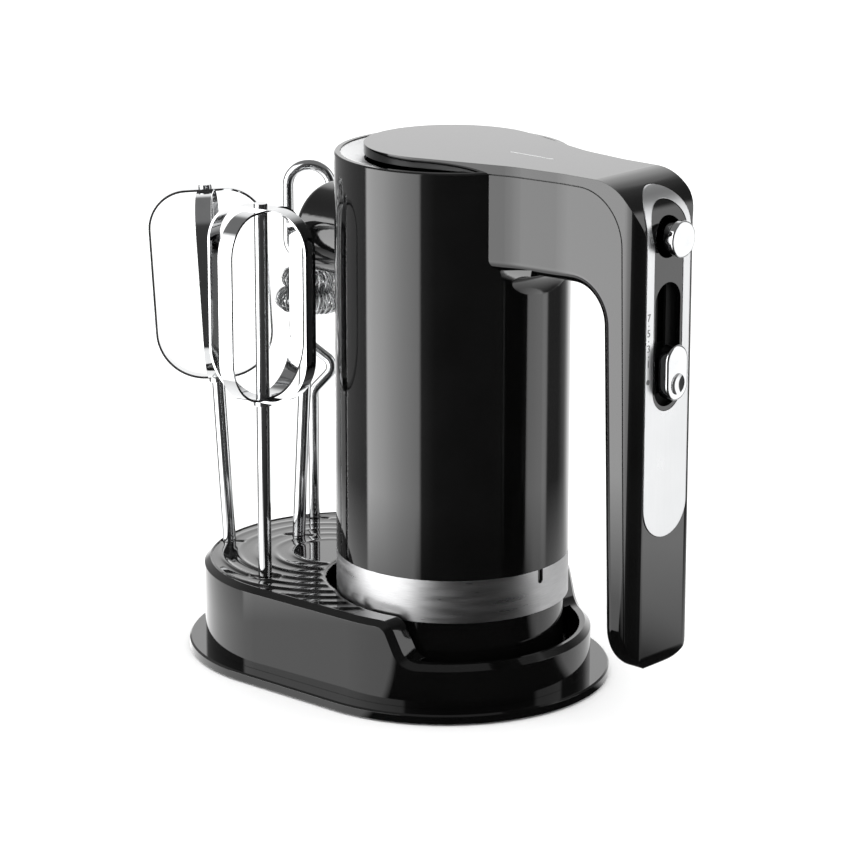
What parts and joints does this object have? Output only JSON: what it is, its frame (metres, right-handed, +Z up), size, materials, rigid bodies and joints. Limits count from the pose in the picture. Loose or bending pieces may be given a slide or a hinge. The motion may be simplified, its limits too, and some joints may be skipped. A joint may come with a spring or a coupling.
{
  "type": "hand mixer",
  "caption": "Upright hand mixer with loop handle, slide speed control and eject button, standing in a storage base with beaters, dough hooks and a coil whisk.",
  "frame": {"origin": "under the mixer body's axis, on the surface the stand rests on", "axes": "+X from the body to the handle and -X to the attachments, +Y to the right of the nose, +Z up"},
  "size_m": [0.2634, 0.1442, 0.2296],
  "materials": {
    "gloss_black": "piano gloss",
    "matte_black": "matte",
    "rubber": "matte",
    "chrome": "polished",
    "brushed_band": "brushed round the body",
    "satin_panel": "satin",
    "plain_steel": "ground",
    "copper": "enamelled",
    "nylon": "moulded",
    "die_cast": "cast",
    "carbon": "pressed",
    "board": "coated"
  },
  "bodies": {
    "stand": {"base_shell": "gloss_black", "base_plate": "gloss_black", "antislip_pad": "rubber", "stand_screws": "plain_steel"},
    "mixer": {"body_casing": "gloss_black", "handle_shell": "gloss_black", "top_cover": "gloss_black", "trim_ring": "chrome", "steel_band": "brushed_band", "rear_cap": "gloss_black", "housing_screws": "plain_steel", "cord_inlet": "rubber", "handle_panel": "satin_panel", "panel_insert": "gloss_black", "slot_backing": "matte_black", "speed_switch": "matte_black", "circuit_board": "board", "nose_housing": "gloss_black", "gear_frame": "die_cast", "motor_bracket": "die_cast", "motor_stator": "plain_steel", "field_windings": "copper", "lower_bearing": "plain_steel", "upper_bearing": "plain_steel", "brush_holders": "matte_black", "carbon_brushes": "carbon"},
    "armature": {"armature_shaft": "plain_steel", "armature_core": "plain_steel", "armature_winding": "copper", "commutator": "copper", "cooling_fan": "matte_black", "worm": "plain_steel"},
    "left_drive": {"spindle_left": "plain_steel", "worm_wheel_left": "nylon"},
    "right_drive": {"spindle_right": "plain_steel", "worm_wheel_right": "nylon"},
    "eject_button": {"eject_button": "chrome", "ejector_fork": "nylon", "eject_spring": "plain_steel"},
    "speed_slider": {"speed_knob": "chrome", "slider_carriage": "matte_black"},
    "beater_1": {"beater_1_shaft": "chrome", "beater_1_outer_loop": "chrome", "beater_1_inner_loop": "chrome"},
    "beater_2": {"beater_2_shaft": "chrome", "beater_2_outer_loop": "chrome", "beater_2_inner_loop": "chrome"},
    "coil_whisk": {"coil_whisk_shaft": "chrome", "coil_whisk_spring": "chrome"},
    "dough_hook_1": {"dough_hook_1": "chrome"},
    "dough_hook_2": {"dough_hook_2": "chrome"}
  },
  "joints": [
    {"name": "mixer_lift", "type": "slide", "parent": "stand", "child": "mixer", "axis": [0, 0, 1], "range_m": [0, 0.15]},
    {"name": "beater_1_pull", "type": "slide", "parent": "stand", "child": "beater_1", "axis": [-0.0698, -0.005, 0.9975], "range_m": [0, 0.05]},
    {"name": "beater_2_pull", "type": "slide", "parent": "stand", "child": "beater_2", "axis": [0, 0, 1], "range_m": [0, 0.05]},
    {"name": "whisk_pull", "type": "slide", "parent": "stand", "child": "coil_whisk", "axis": [-0.004, 0.0728, 0.9973], "range_m": [0, 0.05]},
    {"name": "hook_1_pull", "type": "slide", "parent": "stand", "child": "dough_hook_1", "axis": [0, 0, 1], "range_m": [0, 0.05]},
    {"name": "hook_2_pull", "type": "slide", "parent": "stand", "child": "dough_hook_2", "axis": [0, 0, 1], "range_m": [0, 0.05]},
    {"name": "armature_spin", "type": "hinge", "parent": "mixer", "child": "armature", "pos_m": [0, 0, 0.11], "axis": [0, 0, 1], "continuous": true},
    {"name": "left_drive_spin", "type": "hinge", "parent": "mixer", "child": "left_drive", "pos_m": [0, -0.0136, 0.184], "axis": [1, 0, 0], "continuous": true},
    {"name": "right_drive_spin", "type": "hinge", "parent": "mixer", "child": "right_drive", "pos_m": [0, 0.0136, 0.184], "axis": [1, 0, 0], "continuous": true},
    {"name": "eject_press", "type": "slide", "parent": "mixer", "child": "eject_button", "axis": [-1, 0, 0], "range_m": [0, 0.006], "stiffness_N_per_m": 500, "springref_m": -0.004},
    {"name": "speed_slide", "type": "slide", "parent": "mixer", "child": "speed_slider", "axis": [0, 0, 1], "range_m": [0, 0.025]}
  ],
  "couplings": [
    {"joint": "left_drive_spin", "follows": "armature_spin", "ratio": 0.033333},
    {"joint": "right_drive_spin", "follows": "armature_spin", "ratio": -0.033333}
  ]
}
